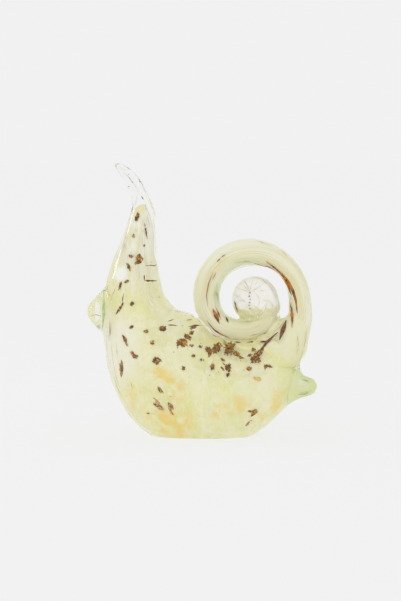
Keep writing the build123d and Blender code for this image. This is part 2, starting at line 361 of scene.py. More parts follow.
ROOT_RADII = ((-84, 3.0), (-74, 5.4), (-60, 5.9), (-40, 5.4), (-26, 4.8), (-12, 2.0))
root_mesh = coil_rod(ROOT_RADII)
core_shape = merged_copy("body_core")
core_shape.from_mesh(root_mesh)
CORE_LUMPS = {
    "saddle": ((25, 0, 37.5), (16, 9, 6)), "root": ((35, 0, 45), (6.5, 5, 7)),
    "tail": ((43, 0, 21.5), (7, 6, 6)), "back": ((4, 0, 49), (8, 7, 5)),
    "nose": ((-41, 0, 55.5), (3.5, 4, 8)),
}
for place, half_sizes in CORE_LUMPS.values():
    lump(core_shape, place, half_sizes)
print("core lumps", sorted(CORE_LUMPS))

# %% [markdown]
# On the real piece the clear casing is thin on the back, the foot, the tail end and the neck. Scaling the
# whole core would thin it everywhere, so only those places are moved out along their normals, and they stop
# a little under the glass.

# %% Milky core
BODY_SWELL, NECK_SWELL = 3.4, 2.4         # millimetres
CORE_MARGIN = 1.2 * MM
core = voxel_skin("milky_core", core_shape, voxel=0.9 * MM, rounds=60, levels=1)
shape = shape_of(core.data)
shape.normal_update()
moves = []
for vertex in shape.verts:
    x, y, z = vertex.co
    upright = share_between(abs(vertex.normal.z), 0.25, 0.8) * share_between(z, 0.066, 0.054)
    end = share_between(x, 0.032, 0.042)
    neck = share_between(z, 0.06, 0.075) * share_between(z, 0.107, 0.09)
    gap = glass_tree.find_nearest(vertex.co)[3]
    reach = max(BODY_SWELL * upright, BODY_SWELL * end, NECK_SWELL * neck) * MM
    moves.append(vertex.normal * min(reach, max(0.0, gap - CORE_MARGIN)))
for vertex, move in zip(shape.verts, moves):
    vertex.co += move
even_out(shape, 20)
keep_inside(shape, CORE_MARGIN)
shape.to_mesh(core.data)
shape.free()
print("moved out by up to", round(max(move.length for move in moves) / MM, 1), "mm")
ease_joint(core, (33, -14, 8), (48, 14, 40), rounds=50)
ease_joint(core, (0, -14, 37), (46, 14, 56), rounds=25)
ride_on_root(core, "pale_core", "body_core")
core_tree = tree_of(core.data)

# %% [markdown]
# The milk in the rod was drawn out and wound with it. It fills most of the rod and thins out near the end.
# A round line along the coil gives it, brought inside the glass where the rod is flatter.

# %% Milky thread
THREAD_RADII = ((-60, 3.0), (-40, 4.2), (-26, 4.6), (0, 4.3), (240, 4.3), (290, 4.0), (312, 3.0), (322, 0.6))
rod_core = joined("milky_thread", [coil_rod(THREAD_RADII)], margin=0.8 * MM)
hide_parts("shell_core")

# %% [markdown]
# The colour of drawn glass runs in lanes along the pull. Object coordinates know nothing of the coil, so
# each corner keeps how far outward, across and along the rod it lies, in millimetres.

# %% Lanes of the thread
INNER_TURN = 18.5 * MM                    # nearer to the middle, the rod is on its second turn
ALONG = 0.35                              # millimetres along the rod for each degree
lanes = rod_core.data.attributes.new("lane", "FLOAT_VECTOR", "POINT")
for vertex in rod_core.data.vertices:
    reach = vertex.co - COIL_CENTRE
    radius = math.hypot(reach.x, reach.z)
    angle = math.degrees(math.atan2(reach.z, reach.x))
    if angle < -86 or (angle < 0 and radius < INNER_TURN):
        angle += 360
    outward = radius / MM - from_table(COIL_LINE, angle)
    lanes.data[vertex.index].vector = (outward, reach.y / MM, angle * ALONG)
print("lanes kept for", len(rod_core.data.vertices), "corners")

# %% [markdown]
# The rod ends in a pinched knob in the middle of the shell. Its milk is a flat round cushion, so one
# stretched sphere, brought inside the glass and evened, is enough.

# %% Milk of the knob
knob_shape = bmesh.new()
lump(knob_shape, (23.9, 0, 61.4), (10.6, 4.8, 10.6))
knob = joined("knob_milk", [mesh_of(knob_shape, "knob")], margin=1.0 * MM)

# %% [markdown]
# Fine drawn lines, dashes and specks lie close under the face of the real glass. Painted by a material they
# would have no depth. So each is typed with the few places where the photograph shows it, and a line of
# sight from the camera carries it a little under the near face, where the glass hardly moves its image.

# %% Places under the glass
def under_glass(x, y, depth):
    """The point under the near face of the glass where the photograph shows a place."""
    across, up = (x - PHOTO_WIDTH / 2) * pixel, (PHOTO_HEIGHT / 2 - y) * pixel
    target = aim + Vector((across, 0, 0)) + camera_up * up
    sight = (target - camera.location).normalized()
    hit = glass_tree.ray_cast(camera.location, sight)[0]
    if hit is None:                       # the line passes the glass, so the nearest face is taken
        hit, facing = glass_tree.find_nearest(target)[:2]
        return hit - facing * depth
    return hit + sight * depth


def stepped(places, spacing):
    """The typed places with more places between them, about a spacing apart."""
    steps = [places[0]]
    for (x1, y1), (x2, y2) in zip(places, places[1:]):
        count = max(1, round(math.hypot(x2 - x1, y2 - y1) / spacing))
        for index in range(1, count + 1):
            steps.append((x1 + (x2 - x1) * index / count, y1 + (y2 - y1) * index / count))
    return steps


print("the glass in the middle of the body", under_glass(190, 390, 0))

# %% [markdown]
# A flake that is pulled out with the glass becomes a thin streak with pointed ends and torn sides. Each mark
# is a drawn line whose radius fades towards both ends, and noise tears it. A thick mark is torn less for its
# size. What the clear rod shows from the far side too is made a second time there.

# %% Marks
def mark_radii(steps, thickness, fade, ragged, number):
    """A radius in metres at each step: thin at the ends, torn by noise between."""
    radii = []
    for index, (x, y) in enumerate(steps):
        end = min(index, len(steps) - 1 - index) / (len(steps) - 1)
        taper = 0.12 + 0.88 * min(1.0, end / fade)
        tear = noise.noise(Vector((x * 0.45, y * 0.45, 3.7 * number)))
        torn = 1 + ragged * tear / max(1.0, thickness * thickness)
        radii.append(max(0.1, taper * torn) * thickness * MM / 2)
    return radii


def marks(name, rows, ragged, depth=1.1 * MM, behind=()):
    """A piece of drawn marks. A row is a thickness in millimetres, a fade share, then x and y by turns."""
    meshes = []
    for number, (thickness, fade, *places) in enumerate(rows):
        places = list(zip(places[::2], places[1::2]))
        if len(places) == 1:                  # a speck
            places.append((places[0][0] + 1.1, places[0][1] + 0.7))
        steps = stepped(places, 1.6)
        if len(steps) < 4:
            steps = stepped(steps, 0.5)
        radii = mark_radii(steps, thickness, fade, ragged, number)
        points = [under_glass(x, y, depth) for x, y in steps]
        meshes.append(drawn_line(points, radii))
        if number in behind:
            meshes.append(drawn_line([Vector((point.x, -point.y, point.z)) for point in points], radii))
    return joined(name, meshes)


print("radii of a mark 1 mm thick", mark_radii([(0, 0)] * 9, 1.0, 0.5, 0.0, 0))

# %% [markdown]
# The boldest marks are copper-brown streaks in the rod: flakes that the pull made long, along the turn. They
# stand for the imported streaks, with the photograph's bends.

# %% Brown streaks
STREAK_ROWS = (
    (1.9, 0.5, 266, 261, 273, 266, 281, 273, 288, 281, 293, 290, 296, 300, 297.5, 313),
    (1.0, 0.4, 282, 277, 288, 285, 292, 295), (1.4, 0.5, 290.5, 302, 292, 309, 292.5, 318, 292, 328),
    (0.35, 0.3, 289.5, 303, 290, 313), (1.9, 0.5, 212.5, 309, 216, 316, 219.5, 324),
    (0.5, 0.4, 215, 307, 218, 313, 220.5, 320), (1.1, 0.5, 207, 320, 214, 329, 222, 335, 231, 338),
    (0.45, 0.5, 213, 272, 208.5, 284, 206.5, 295, 207.5, 307),
    (0.55, 0.4, 252, 262, 262, 265, 270, 269.5, 275, 273), (0.5, 0.4, 217, 262, 220.5, 258.5),
    (0.45, 0.4, 221.5, 257.5, 225.5, 254.5), (0.3, 0.4, 212.5, 280, 216, 272),
)
streaks = marks("brown_streaks", STREAK_ROWS, 0.5, behind=(0, 2, 4, 6, 8))
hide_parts("shell_flecks")

# %% [markdown]
# Dark dashes and specks are the smallest crumbs of the leaf. Some were caught in folds of the neck, where
# they make two short level lines. A speck is typed as a single place.

# %% Dark dashes
SPECKS = (
    (0.6, 200, 343.5), (0.6, 201.5, 346), (0.6, 194, 356), (0.7, 203, 360), (0.5, 182, 326),
    (0.8, 250, 363.5), (0.9, 224, 354.5), (0.4, 158.5, 297), (0.4, 150, 262), (0.4, 128, 174),
    (0.35, 129, 186), (0.5, 206, 352), (0.5, 247, 357), (0.5, 240, 361), (0.4, 187, 349), (0.4, 173, 352),
    (0.5, 218, 372), (0.4, 209, 375), (0.4, 243, 370), (0.4, 170, 396),
)
DASH_ROWS = (
    (2.3, 0.5, 286.5, 320.5, 283.5, 329, 281.5, 334, 279.5, 340.5),
    (2.0, 0.7, 278, 332.5, 272, 338, 267.5, 342, 263, 347.5, 259, 352),
    (0.8, 0.4, 235, 301, 236.5, 307, 238.5, 312), (1.0, 0.5, 225.5, 317, 228, 323),
    (1.0, 0.5, 247, 343, 255, 342), (1.2, 0.5, 260, 342.5, 267, 341.5), (1.0, 0.5, 234, 342.5, 241, 343),
    (1.1, 0.5, 188, 327.5, 194, 326, 202, 325.5), (0.5, 0.3, 167, 325.5, 173, 325.5, 178, 326.5),
    (0.5, 0.3, 145, 266, 150, 265.5, 154, 266, 157, 264), (0.6, 0.3, 144, 275, 144.3, 281),
    (0.7, 0.3, 144.3, 281, 150, 281, 156.5, 281), (0.5, 0.3, 141, 196, 143.5, 200),
    (0.4, 0.3, 124, 293, 122.5, 303), (0.5, 0.4, 227, 366, 229, 369, 231.5, 372),
    (0.5, 0.4, 222, 363, 226, 366), (0.6, 0.4, 186, 321, 192, 320), (0.4, 0.3, 167, 322, 174, 319.5),
)
DASH_ROWS += tuple((thickness, 0.5, x, y) for thickness, x, y in SPECKS)
dashes = marks("dark_dashes", DASH_ROWS, 0.9)

# %% [markdown]
# Thin tan lines show how the glass moved while it was soft. They run up the chest, along the folds of the
# rod and down behind the tail.

# %% Tan lines
TAN_ROWS = (
    (0.4, 0.3, 112, 345, 113.5, 360, 116.5, 376, 121, 390), (0.35, 0.3, 117, 340, 117.5, 352, 119, 362),
    (0.4, 0.3, 113.5, 372, 118, 388, 124, 399), (0.4, 0.3, 110.5, 319, 110.5, 335),
    (0.35, 0.3, 110.5, 303, 114, 293, 118, 284), (0.4, 0.3, 131, 380, 133, 389),
    (0.35, 0.3, 159, 278, 161, 292), (0.3, 0.3, 145, 204, 146, 210),
    (0.3, 0.3, 303, 350, 300, 359, 297, 366), (0.3, 0.3, 297, 334, 298, 345, 296, 356),
    (0.3, 0.3, 306, 328, 305, 341, 301, 354), (1.1, 0.5, 210.5, 335, 215, 337, 220, 337.5),
    (0.5, 0.4, 213, 330, 222, 336, 234, 339, 248, 338.5, 260, 335.5),
    (0.35, 0.4, 233, 327, 240, 333, 250, 335, 262, 333, 270, 328),
    (0.35, 0.4, 256, 241, 264, 243.5, 272, 247), (0.3, 0.4, 280, 250, 287, 256),
    (0.35, 0.3, 128, 228, 125, 245, 121, 262), (0.3, 0.3, 152, 215, 155, 236, 155, 256),
    (0.35, 0.3, 216, 337.5, 228, 340.5, 240, 342.5, 252, 342, 266, 341),
)
tans = marks("tan_lines", TAN_ROWS, 0.4, behind=(0, 2, 8, 12))

# %% [markdown]
# The end of the rod was pinched with pliers. The pinch left folds that meet in the middle of the knob like
# the veins of a leaf, and a brown seam of crumbs straight down. They lie nearer to the face than other marks.
# The tan of the fold lines is partly painted shade in the creases.

# %% Folds and seam of the knob
FOLD_AND_SHADE_ROWS = (
    (0.36, 0.5, 235, 287, 242, 289.5, 249, 292), (0.36, 0.5, 238, 282, 245, 287, 250, 292),
    (0.32, 0.5, 243, 279, 247, 285, 250, 291), (0.28, 0.5, 252, 280, 251, 286, 249.5, 292),
    (0.28, 0.5, 258, 281, 254, 286), (0.36, 0.5, 263, 284, 257, 288, 251, 292),
    (0.32, 0.5, 232, 293, 240, 297, 246, 303), (0.32, 0.5, 236, 304, 240, 300.5, 245, 301, 247, 306),
    (0.28, 0.5, 254, 292, 258, 296, 259.5, 302, 257, 309),
    (0.28, 0.5, 262, 301, 268, 300, 272, 304, 273, 312),
    (0.35, 0.3, 231.5, 291, 235, 281.5, 243, 276.8, 252, 276, 262, 279.5, 270, 286.5, 275, 296, 278.5, 307,
     278, 315), (0.28, 0.5, 242, 294, 236, 298), (0.28, 0.5, 266, 290, 258, 291.5),
    (0.3, 0.4, 246, 313, 250, 316, 256, 316),
)
SEAM_ROWS = (
    (0.8, 0.5, 249.4, 292.4), (0.95, 0.5, 248.7, 295.8), (0.6, 0.5, 249.6, 299), (0.9, 0.5, 249, 302.2),
    (0.6, 0.5, 248.5, 304.8), (0.75, 0.5, 249.4, 308.4),
)
KNOB_DEPTH = 0.6 * MM
# fold lines, whose tan is partly painted shade in the creases
folds_and_shade = marks("knob_folds_and_shade", FOLD_AND_SHADE_ROWS, 0.6, KNOB_DEPTH, behind=range(6))
seam = marks("knob_seam", SEAM_ROWS, 0.5, KNOB_DEPTH)

# %% [markdown]
# The two pressed-on bits are light green. Their colour gathers where the bit meets the body and in the inner
# side of the first turn, so a few thick soft lines carry it there.

# %% Green lines
GREEN_ROWS = (
    (1.5, 0.5, 104.5, 290, 104, 303, 104, 316, 102.5, 330), (0.5, 0.3, 90, 316, 96, 314.5, 102, 316),
    (0.4, 0.4, 94, 301, 90, 306, 88.5, 312), (0.4, 0.4, 92, 320, 96, 325, 99, 331),
    (0.7, 0.5, 298, 394, 305, 393.5, 309, 391), (0.5, 0.4, 300, 379, 306, 381, 310, 383),
    (1.6, 0.5, 217.5, 283, 216.5, 293, 218, 304), (0.6, 0.4, 234, 262.5, 246, 261, 258, 263),
)
greens = marks("green_lines", GREEN_ROWS, 0.4)

# %% [markdown]
# The horn is clear glass with long thin bubbles, which look like grey hairs. Clear tubes would be truer but
# would vanish at this size, so they are fine grey lines.

# %% Grey hairs
GREY_ROWS = (
    (0.3, 0.4, 123, 172, 130, 178, 136, 187, 140, 195), (0.3, 0.4, 134, 172, 141, 184, 147, 198),
    (0.25, 0.4, 119, 167, 126, 171), (0.3, 0.4, 128, 176, 133, 184), (0.3, 0.4, 137, 196, 136, 206),
    (0.3, 0.4, 146, 210, 149, 226, 150, 240), (0.3, 0.4, 116, 252, 113, 262),
    (0.3, 0.3, 148, 283, 151, 296, 157, 308), (0.3, 0.3, 126, 236, 122, 252),
    (0.3, 0.3, 107, 330, 107.5, 350, 110, 372),
)
greys = marks("grey_lines", GREY_ROWS, 0.4)

# %% [markdown]
# Cream glass shows as soft pale strokes where the rod lies on the back. The pale strokes on the tail and on
# the knob are painted highlights.

# %% Cream lines and painted highlights
CREAM_AND_HIGHLIGHT_ROWS = (
    (1.6, 0.4, 195.5, 308, 198, 317, 204.5, 326.5, 212, 333.5, 222, 338.3),
    (0.9, 0.4, 272, 333, 280, 326, 285, 319), (0.6, 0.4, 146, 286, 149, 300, 156, 312, 163, 320),
    # this row and the next hold painted highlights: one stroke on the tail and two on the knob
    (1.3, 0.5, 299, 386, 308, 384), (1.2, 0.5, 258, 315, 263, 311, 267, 303),
    (0.9, 0.5, 258, 314, 257, 319),
)
creams_and_highlights = marks("cream_and_highlight_lines", CREAM_AND_HIGHLIGHT_ROWS, 0.2, 0.9 * MM)

# %% [markdown]
# The flakes on the body are broken leaf: thin, ragged, and bent to the round core. A flat card with holes in
# its material would have no edge. So each flake starts as a filled circle, inset three times for inner
# corners, and noise makes it ragged. An attribute keeps how near a corner is to the rim, which is darker.

# %% Ragged discs
RAGGED_NOISE = ((0.5, 1.3, 1, 0), (0.7, 3.2, 0, 1), (0.5, 7.0, 1, 1))    # share, fineness, shifts by the seed


def ragged_disc(seed):
    """A flat ragged disc with a radius of about 1, as a bmesh with the layer rim."""
    shape = bmesh.new()
    bmesh.ops.create_circle(shape, cap_ends=True, segments=32, radius=1.0)
    for thickness in (0.1, 0.22, 0.3):
        middle = max(shape.faces, key=lambda face: face.calc_area())
        bmesh.ops.inset_region(shape, faces=[middle], thickness=thickness,
                               use_boundary=True, use_even_offset=True)
    rim = shape.verts.layers.float.new("rim")
    for vertex in shape.verts:
        out = vertex.co.length
        vertex[rim] = out
        heading = Vector((vertex.co.x, vertex.co.y, 0)) / max(out, 0.001)
        ragged = sum(share * noise.noise(heading * fineness + Vector((x, y, 0)) * seed)
                     for share, fineness, x, y in RAGGED_NOISE)
        vertex.co *= 1 + 0.8 * ragged * out
    return shape


print("the rim of a flake is torn by noise of", len(RAGGED_NOISE), "sizes")

# %% [markdown]
# The disc is stretched to its length and breadth and given a thickness. Then every corner is dropped straight
# onto the skin that carries the flake, so the leaf bends with it, as the real leaf did on the soft gather.

# %% Flakes laid on a skin
LEAF_LIFTS = (0.18, 0.34)


def laid_flake(centre, along, across, half_length, half_breadth, seed, tree=core_tree, lifts=LEAF_LIFTS):
    """A thin ragged plate on a skin, its two faces lifted off the skin by millimetres."""
    shape = ragged_disc(seed)
    for vertex in shape.verts:
        vertex.co = centre + along * (vertex.co.x * half_length) + across * (vertex.co.y * half_breadth)
    outward = Vector((0, math.copysign(1, centre.y), 0))
    below = bmesh.ops.extrude_face_region(shape, geom=shape.faces[:])
    moved = {item for item in below["geom"] if isinstance(item, bmesh.types.BMVert)}
    for vertex in shape.verts:
        near, facing = tree.ray_cast(vertex.co + outward * 12 * MM, -outward)[:2]
        if near is None:
            near, facing = tree.find_nearest(vertex.co)[:2]
        vertex.co = near + facing * lifts[vertex in moved] * MM
    bmesh.ops.recalc_face_normals(shape, faces=shape.faces)
    return mesh_of(shape, "flake")


def gathered(name, meshes):
    """One piece of many flakes that keeps their rim attribute."""
    whole = bmesh.new()
    whole.verts.layers.float.new("rim")
    for mesh in meshes:
        whole.from_mesh(mesh)
        bpy.data.meshes.remove(mesh)
    return new_piece(name, mesh_of(whole, name))


print("a flake is", round(LEAF_LIFTS[1] - LEAF_LIFTS[0], 2), "mm thick")

# %% [markdown]
# Each packed chip says where a flake lies, how long and how broad it is, and which way it points. Under the
# coil the photograph shows the flakes a little higher and smaller, and low on the left they are narrow, so
# those are eased towards that.

# %% Body and neck flakes
def chip_measures(chip):
    """The centre, two directions and two half sizes of one packed chip."""
    normal = max(chip, key=lambda face: face.calc_area()).normal.copy()
    corners = list(dict.fromkeys(vertex for face in chip for vertex in face.verts))
    centre = sum((vertex.co for vertex in corners), Vector()) / len(corners)
    under_shell = share_between(centre.z, 0.028, 0.036) * share_between(centre.x, 0.0, 0.008)
    centre.z += 2.6 * MM * under_shell
    flat = [(vertex.co - centre) - normal * (vertex.co - centre).dot(normal) for vertex in corners]
    along = max(flat, key=lambda reach: reach.length)
    half_length = along.length
    along = along.normalized()
    across = normal.cross(along).normalized()
    half_breadth = max(abs(reach.dot(across)) for reach in flat)
    low_left = share_between((centre - Vector((-0.019, -0.014, 0.015))).length, 0.011, 0.008)
    half_length *= 1 - 0.3 * max(under_shell, low_left)
    half_breadth *= 1 - 0.3 * under_shell - 0.5 * low_left
    return centre, along, across, half_length, half_breadth


def flakes_of(node, name):
    """A piece of laid flakes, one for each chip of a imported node."""
    packed = merged_copy(node)
    meshes = []
    for chip in sorted(islands(packed), key=lambda faces: round(faces[0].calc_center_median().x, 4)):
        measures = chip_measures(chip)
        meshes.append(laid_flake(*measures, 7.3 * len(meshes) + 100 * measures[0].x))
    packed.free()
    piece = gathered(name, meshes)
    ride_on_root(piece, "metallic_fleck", node)
    print(name, len(meshes), "flakes,", len(piece.data.polygons), "faces")
    return piece


body_flakes = flakes_of("body_flecks", "body_flakes")
neck_flakes = flakes_of("neck_flecks", "neck_flakes")

# %% [markdown]
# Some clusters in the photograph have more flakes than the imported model. They lie just under the face of the
# glass, and are typed by place, half sizes in millimetres and turn in degrees.

# %% Near flakes
NEAR_FLAKES = (
    (219.5, 344, 1.2, 0.8, -40), (210.5, 353, 1.4, 0.7, 70), (215.5, 349.5, 1.8, 1.2, 10),
    (230, 345.5, 2.1, 1.2, 5), (236, 353, 1.5, 0.7, -28), (241, 356.5, 1.3, 0.5, -15),
    (253.5, 348.5, 1.0, 0.8, 0), (250, 354, 1.0, 0.6, 20), (256, 355, 2.2, 1.2, 50),
    (261.5, 350, 1.9, 0.9, 62), (254, 360.5, 1.2, 0.7, 0), (266.3, 366, 1.2, 0.8, 65),
    (178, 343.5, 1.6, 0.7, 80), (192, 332, 1.2, 0.8, 20), (193.5, 326.8, 1.4, 0.6, 5),
    (163.5, 328, 1.5, 0.9, 25), (136.5, 262.5, 1.1, 0.7, 25), (139.3, 255.5, 1.0, 0.7, 50),
    (223, 368, 1.2, 0.4, -50), (157, 403, 2.4, 0.6, -50), (170, 411, 2.2, 0.6, -62),
    (160, 390, 1.8, 0.5, -50), (251, 412, 1.3, 0.6, -10),
)
NEAR_LIFTS = (-1.35, -1.2)
near_meshes = []
for number, (x, y, half_length, half_breadth, turn) in enumerate(NEAR_FLAKES):
    lean = math.radians(turn)
    along = Vector((math.cos(lean), 0, math.sin(lean)))
    across = Vector((-math.sin(lean), 0, math.cos(lean)))
    near_meshes.append(laid_flake(under_glass(x, y, 0), along, across, half_length * MM, half_breadth * MM,
                                  4.1 * number + 60, glass_tree, NEAR_LIFTS))
near_flakes = gathered("near_flakes", near_meshes)
ride_on_root(near_flakes, "metallic_fleck")

# %% [markdown]
# Each finish is one Principled shader whose colour comes from nodes. The same few kinds of node come back in
# all of them, so each kind gets a short helper. A socket knows the tree that it belongs to, so the helpers
# need only the sockets that they join. Everything reads Object coordinates or a kept attribute, so a pattern
# stays in the glass from whichever side it is seen.

# %% Materials and wires
def principled(name, pieces, **values):
    """A Principled shader in a new material on some pieces, with the given socket values."""
    material = bpy.data.materials.new(name)
    material.use_nodes = True
    shader = material.node_tree.nodes["Principled BSDF"]
    for socket, value in values.items():
        shader.inputs[socket.replace("_", " ")].default_value = value
    for piece in pieces:
        piece.data.materials.append(material)
    return shader


def wire(value, socket):
    """Give a socket a number, a vector, a colour or the output of another node."""
    if isinstance(value, (int, float, Vector)):
        socket.default_value = value
    elif isinstance(value, tuple):
        socket.default_value = (*value, 1)
    else:
        socket.id_data.links.new(value, socket)


def added(socket, kind, inputs=None, **settings):
    """A new node in the tree of a socket, with settings and with values for some of its inputs."""
    node = socket.id_data.nodes.new("ShaderNode" + kind)
    for name, setting in settings.items():
        setattr(node, name, setting)
    for key, value in (inputs or {}).items():
        wire(value, node.inputs[key])
    return node


def object_place(shader):
    """The place on the object, in metres."""
    return added(shader.inputs[0], "TexCoord").outputs["Object"]


def kept(shader, name, output):
    """An attribute that the mesh keeps."""
    return added(shader.inputs[0], "Attribute", attribute_name=name).outputs[output]


# %% [markdown]
# Colour in glass drifts and curls as it did while it flowed. Noise gives that, stretched where the glass was
# pulled. A band cuts a soft-edged share out of it, and a mix lays one colour over another by that share.

# %% Noise, bands and mixes
def mottle(place, scale, detail=3.0, stretch=(1, 1, 1), distortion=0.0, roughness=0.5, output="Fac"):
    """Noise with a feature size, stretched along the axes."""
    scales = Vector([1 / (scale * share) for share in stretch])
    mapping = added(place, "Mapping", {"Vector": place, "Scale": scales})
    inputs = {"Vector": mapping.outputs[0], "Scale": 1.0, "Detail": detail, "Roughness": roughness,
              "Distortion": distortion}
    return added(place, "TexNoise", inputs).outputs[output]


def band(value, none, full):
    """0 at one value, 1 at the other, smooth between."""
    inputs = {"Value": value, "From Min": none, "From Max": full}
    return added(value, "MapRange", inputs, interpolation_type="SMOOTHSTEP").outputs[0]


def step(operation, first, second):
    """One step of arithmetic on a socket and a number or socket."""
    return added(first, "Math", {0: first, 1: second}, operation=operation).outputs[0]


def off(value, middle=0.5):
    """How far a value is off a middle one, to either side."""
    return step("ABSOLUTE", step("SUBTRACT", value, middle), 0.0)


def mix(share, first, second, strength=1.0):
    """The first colour, and the second over it by a share."""
    share = share if strength == 1.0 else step("MULTIPLY", share, strength)
    return added(share, "Mix", {0: share, 6: first, 7: second}, data_type="RGBA").outputs[2]


print("a mix runs from the first colour at 0 to the second at 1")

# %% [markdown]
# Some colours belong to one place, such as an amber cloud low in the body. The distance to that place makes
# a soft ball of colour. A perfect ball looks painted on, so its place can be moved to and fro by noise first,
# which breaks the outline.

# %% Colour at a place
def axis(place, index):
    """One coordinate of a place."""
    return added(place, "SeparateXYZ", {0: place}).outputs[index]


def near(place, x, y, z, inner, outer):
    """1 within inner millimetres of a place, 0 beyond outer."""
    inputs = {0: place, 1: Vector((x * MM, y * MM, z * MM))}
    away = added(place, "VectorMath", inputs, operation="DISTANCE").outputs["Value"]
    return band(away, outer * MM, inner * MM)


def wavering(place, scale, reach):
    """The place, moved to and fro by noise."""
    inputs = {0: place, 1: Vector((reach,) * 3)}
    shifted = added(place, "VectorMath", inputs, operation="SUBTRACT").outputs[0]
    drift = mottle(place, scale, output="Color")
    inputs = {0: drift, 1: Vector((2 * reach,) * 3), 2: shifted}
    return added(place, "VectorMath", inputs, operation="MULTIPLY_ADD").outputs[0]


print("amber clouds waver by a few millimetres")

# %% [markdown]
# The casing is fire-polished soda glass: no roughness, and light bends by 1.5. Body and horn are nearly
# colourless, the bits light green, and the drawn-out tail is darker along its upper and lower edge, where one
# looks through more glass. A tint by place gives all that on one skin.

# %% Clear glass
clear = principled("clear_glass", [glass], Roughness=0.0, IOR=1.5, Transmission_Weight=1.0)
place = object_place(clear)
tint = mix(band(axis(place, 2), 0.08, 0.11), (0.975, 0.975, 0.94), (0.98, 0.982, 0.97))
tint = mix(near(place, -44, 0, 56, 4, 13), tint, (0.93, 0.96, 0.86))
tint = mix(near(place, 50, 0, 22, 4, 18), tint, (0.9, 0.93, 0.77))
tail_edge = band(off(axis(place, 2), 22 * MM), 0.0022, 0.005)
tint = mix(step("MULTIPLY", tail_edge, near(place, 50, 0, 22, 6, 11)), tint, (0.74, 0.8, 0.57))
wire(tint, clear.inputs["Base Color"])
print("clear glass has", len(place.id_data.nodes), "nodes")

# %% [markdown]
# Light that leaves the milk has to pass the clear glass. A path tracer can't aim at a lamp through a bending
# face, so the core would come out dark and speckled. The material therefore lets shadow rays, diffuse rays
# and rays that have gone deep pass straight. What the camera sees stays true glass.

# %% Way for soft light
DEEP = 5.5                                # faces that a ray has met
path_of_ray = added(place, "LightPath").outputs
soft = step("MAXIMUM", path_of_ray["Is Shadow Ray"], path_of_ray["Is Diffuse Ray"])
open_share = step("MAXIMUM", soft, step("GREATER_THAN", path_of_ray["Ray Depth"], DEEP))
straight = added(place, "BsdfTransparent").outputs[0]
both = added(place, "MixShader", {0: open_share, 1: clear.outputs[0], 2: straight}).outputs[0]
wire(both, place.id_data.nodes["Material Output"].inputs["Surface"])
print("with the way for soft light", len(place.id_data.nodes), "nodes")

# %% [markdown]
# The milk is opal glass in lime and cream: broad clouds, green patches between them, and white veils and a
# fine crackle of specks, longer upright than across, because the gather was pulled up. Each is a layer of
# noise, from coarse to fine. Olive veins follow where a noise crosses its middle value.

# %% Milky glass, clouds and veils
milky = principled("milky_glass", [core], Roughness=0.5)
place = object_place(milky)
LIME, CREAM = (0.865, 0.845, 0.405), (0.895, 0.865, 0.53)
WHITE, GREEN = (0.935, 0.925, 0.73), (0.78, 0.81, 0.39)
clouds = band(mottle(place, 0.014, 4, distortion=0.6), 0.36, 0.64)
colour = mix(clouds, LIME, CREAM)
patches = band(mottle(place, 0.011, 3, (1, 1, 1.6), 0.4), 0.54, 0.7)
colour = mix(patches, colour, GREEN, 0.45)
veils = band(mottle(place, 0.0042, 5, (1, 1, 2.2), 0.8, 0.6), 0.52, 0.66)
colour = mix(veils, colour, WHITE, 0.6)
fine = mottle(place, 0.0024, 5, (1, 1, 1.5), 0.9, 0.68)
colour = mix(band(fine, 0.54, 0.64), colour, WHITE, 0.55)
colour = mix(band(fine, 0.47, 0.36), colour, (0.77, 0.765, 0.34), 0.5)
veins = band(off(mottle(place, 0.006, 4, (1, 1, 1.4), 0.8)), 0.024, 0.004)
colour = mix(veins, colour, (0.8, 0.745, 0.37), 0.45)
print("milky glass has", len(place.id_data.nodes), "nodes so far")

# %% [markdown]
# Amber clouds lie low in the body, thickest near the foot. Noise alone would put them anywhere, so each has
# its own place and reach, with a wavering outline and holes of finer noise.

# %% Milky glass, amber
AMBER = (0.9, 0.68, 0.155)
AMBER_PLACES = (
    (-30, -9, 19, 1, 6), (-28, -9, 14, 1, 6), (-26, -10, 9, 1, 6), (-16, -14, 29, 2, 6), (-14, -12, 5, 7, 14),
    (-10, -14, 22, 1, 6), (30, -8, 15, 2, 9), (24, -14, 25, 1, 5), (19, -13, 16, 2, 6), (9, -14, 14, 1, 5),
    (36, -8, 20, 1, 6),
    # guessed, on the far side
    (-24, 12, 14, 2, 8), (6, 15, 7, 4, 11), (27, 12, 18, 2, 7), (-30, 10, 28, 1, 6), (-6, 15, 25, 1, 5),
)
wavy = wavering(place, 0.006, 0.007)
spots = 0.0
for where in AMBER_PLACES:
    spots = step("MAXIMUM", near(wavy, *where), spots)
broken = band(mottle(place, 0.005, 4, (1, 1, 1.5), 0.6), 0.32, 0.58)
colour = mix(step("MULTIPLY", spots, broken), colour, AMBER, 0.85)
print("amber in", len(AMBER_PLACES), "places")

# %% [markdown]
# Up the neck the milk was pulled into threads. The noise is stretched upright there, nine times as long as
# it is wide, and thin tan lines follow where a second noise crosses its middle value.

# %% Milky glass, drawn neck
NECK_START = 0.056
neck_share = band(axis(place, 2), NECK_START, 0.084)
wisps = band(mottle(place, 0.0028, 4, (1, 1, 9), 0.3, 0.6), 0.38, 0.62)
neck_colour = mix(wisps, (0.83, 0.81, 0.585), (0.925, 0.925, 0.83))
neck_lines = band(off(mottle(place, 0.0021, 2, (1, 1, 14))), 0.035, 0.006)
neck_colour = mix(neck_lines, neck_colour, (0.66, 0.58, 0.38), 0.5)
colour = mix(near(wavy, -41, -4, 40, 9, 24), colour, (0.93, 0.915, 0.79), 0.75)
colour = mix(neck_share, colour, neck_colour, 0.85)
print("the neck's threads begin at", round(NECK_START / MM), "mm")
